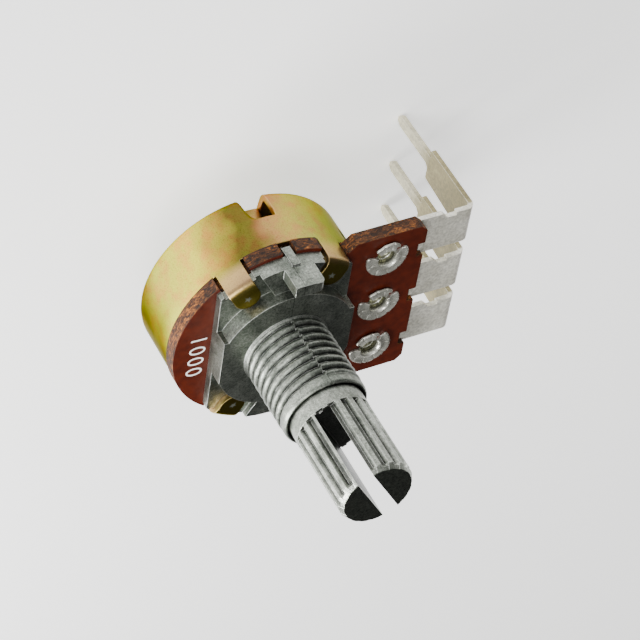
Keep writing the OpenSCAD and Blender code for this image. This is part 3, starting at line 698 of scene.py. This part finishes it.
def petal_grid(start, sweep, reach, lift, phase):
    """Rings of points over one flared petal: under its rim, over it and down the funnel to the hole."""
    # radius, height and the share of the waves and creases there
    profile = [
        (0.84, -0.9, 0), (0.86, 0.0, 0), (1.2, 0.02, 0.3), (reach - 0.08, lift, 1),
        (reach, 0.04 + lift, 1), (reach, 0.13 + lift, 1), (reach - 0.05, 0.20 + lift, 1),
        (reach - 0.14, 0.22 + lift, 1), (reach - 0.26, 0.18 + 0.9 * lift, 1), (1.36, 0.15 + 0.6 * lift, 1),
        (1.18, 0.19 + 0.3 * lift, 0.6), (1.02, 0.30, 0.3), (0.90, 0.34, 0.2), (0.81, 0.28, 0.1),
        (0.74, 0.10, 0.1), (0.70, -0.2, 0), (0.66, -0.9, 0),
    ]
    creases = [start + sweep * t for t in (LONG_CREASES if sweep > 120 else SHORT_CREASES)]
    knots = [start, *creases, start + sweep]
    count = max(20, int(sweep / 1.5))
    rings = []
    for i in range(count + 1):
        t = i / count
        deg = start + sweep * t
        a = math.radians(deg)
        corner = min(1.0, min(t, 1 - t) * sweep / 7.0)
        crease = sum(math.exp(-((deg - c) / 2.0) ** 2) for c in creases)
        low, high = next((a0, a1) for a0, a1 in zip(knots, knots[1:]) if deg <= a1 + 1e-6)
        facet = 1 - (2 * (deg - low) / (high - low) - 1) ** 2
        ring = []
        for r, z, share in profile:
            rr = r + share * (0.02 * math.sin(a * 5 + phase) - 0.04 * crease - 0.03 * facet)
            if r > 1.0:
                rr = 1.0 + (rr - 1.0) * (0.82 + 0.18 * math.sqrt(corner))
            if z > 0:
                z = max(0.0, z + share * (0.02 * math.sin(a * 3 + phase) - 0.05 * crease + 0.02 * facet))
            ring.append((rr * math.cos(a), rr * math.sin(a), z))
        rings.append(ring)
    return rings


def make_eyelet(k):
    verts, faces = [], []
    cx, cy = EYE_X, EYE_Y + (2 - k) * EYE_STEP

    def add_rings(rings, closed):
        base, n, size = len(verts), len(rings), len(rings[0])
        for ring in rings:
            verts.extend((cx + x, cy + y, WAFER_FRONT + z) for x, y, z in ring)
        for i in range(n if closed else n - 1):
            here, there = base + i * size, base + (i + 1) % n * size
            for j in range(size):
                k1 = (j + 1) % size
                faces.append((here + j, here + k1, there + k1, there + j))
        if not closed:
            faces.append(tuple(base + j for j in range(size))[::-1])
            faces.append(tuple(base + (n - 1) * size + j for j in range(size)))

    for petal in PETALS[k]:
        add_rings(petal_grid(*petal), False)
    turns = [TAU * i / 48 for i in range(48)]
    add_rings([[(r * math.cos(a), r * math.sin(a), z) for r, z in TUBE] for a in turns], True)
    obj = new_object(f"petalled_eyelet_{k}", verts, faces)
    weld(obj.data, turn_outward=True)
    smooth(obj, 50)
    dress(obj, "tin")
    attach(obj, "housing")
    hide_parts(f"eyelet_{k}")


# Small marks

STAKE_R, STAKE_ARMS = 6.85, 5


def make_marking():
    """Plain printed digits on the wafer's left side."""
    curve = bpy.data.curves.new("printed_digits", "FONT")
    curve.body = "1000"
    curve.size = 1.95 * MM
    curve.extrude = 0.006 * MM
    curve.offset = -0.018 * MM
    curve.space_character = 1.2
    curve.align_x = "CENTER"
    curve.align_y = "CENTER"
    obj = add_object("printed_digits", curve)
    obj.matrix_world = (Matrix.Translation(Vector((-6.55, -0.35, WAFER_FRONT + 0.008)) * MM)
                        @ Matrix.Rotation(math.radians(-92), 4, "Z"))
    dress(obj, "ink")
    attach(obj, "housing")


def make_stake(index, angle):
    """A star-shaped punch mark on a folded tab."""
    cx, cy = STAKE_R * math.cos(angle), STAKE_R * math.sin(angle)
    count = 2 * STAKE_ARMS
    verts = []
    for i in range(count):
        r = (0.36 if i % 2 == 0 else 0.15) * (1 + 0.12 * rng.standard_normal())
        a = angle + 0.4 + TAU * i / count
        verts.append((cx + r * math.cos(a), cy + r * math.sin(a), TAB_TOP + 0.004))
    verts.append((cx, cy, TAB_TOP + 0.018))
    obj = new_object(f"stake_mark_{index}", verts, [(i, (i + 1) % count, count) for i in range(count)])
    dress(obj, "mark")
    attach(obj, "housing")


# Floor, camera and light

FLOOR_HALF, FLOOR_CELLS, FLOOR_GAP = 600, 12, 0.03
CAM_PLACE = Vector((-0.073872, 0.148144, 0.112955))
CAM_TURN = Quaternion((0.883879, -0.402787, -0.234437, -0.0395))
CAM_LENS, CAM_SENSOR = 150.822, 36
BRIGHT_SIDE = Vector((-0.75, 0.55, 0.1)).normalized()


def make_floor():
    n = FLOOR_CELLS
    lines = [-FLOOR_HALF + 2 * FLOOR_HALF * i / n for i in range(n + 1)]
    verts = [(x, y, -PIN_DEPTH - FLOOR_GAP) for y in lines for x in lines]
    corners = [j * (n + 1) + i for j in range(n) for i in range(n)]
    obj = new_object("floor", verts, [(c, c + 1, c + n + 2, c + n + 1) for c in corners])
    dress(obj, "floor")


def make_camera():
    data = bpy.data.cameras.new("camera")
    data.sensor_width = CAM_SENSOR
    data.lens = CAM_LENS
    data.clip_start = 0.01
    data.clip_end = 5
    cam = add_object("camera", data)
    cam.location = CAM_PLACE
    cam.rotation_mode = "QUATERNION"
    cam.rotation_quaternion = CAM_TURN
    bpy.context.scene.camera = cam


def make_world():
    """A dim studio, brighter on one side, so that metal shows light and dark."""
    world = bpy.data.worlds.new("studio")
    world.use_nodes = True
    tree = world.node_tree
    coord = tree.nodes.new("ShaderNodeTexCoord")
    dot = tree.nodes.new("ShaderNodeVectorMath")
    dot.operation = "DOT_PRODUCT"
    dot.inputs[1].default_value = BRIGHT_SIDE
    spread = tree.nodes.new("ShaderNodeMapRange")
    spread.interpolation_type = "SMOOTHSTEP"
    spread.inputs["From Min"].default_value = -0.2
    spread.inputs["From Max"].default_value = 0.8
    spread.inputs["To Min"].default_value = 0.10
    spread.inputs["To Max"].default_value = 1.15
    back = tree.nodes["Background"]
    back.inputs["Color"].default_value = (1, 1, 1, 1)
    tree.links.new(coord.outputs["Generated"], dot.inputs[0])
    tree.links.new(dot.outputs["Value"], spread.inputs["Value"])
    tree.links.new(spread.outputs["Result"], back.inputs["Strength"])
    bpy.context.scene.world = world


def area_light(name, place, target, size, power):
    """A soft square light, placed and aimed in millimetres, with its power in watts."""
    place, target = Vector(place) * MM, Vector(target) * MM
    data = bpy.data.lights.new(name, "AREA")
    data.size = size * MM
    data.energy = power
    obj = add_object(name, data)
    obj.location = place
    obj.rotation_euler = (place - target).to_track_quat("Z", "Y").to_euler()


make_cover()
make_bushing()
for number in PETALS:
    make_eyelet(number)
make_marking()
for number, degrees in enumerate(TAB_ANGLES, 1):
    make_stake(number, math.radians(degrees))
make_floor()
make_camera()
make_world()
area_light("key", (-200, 150, 300), (0, 0, 0), 160, 1.15)
area_light("low_left", (-95, -40, 25), (-30, -15, -15), 60, 0.30)
area_light("top", (60, 120, 590), (0, 0, 0), 120, 0.3)
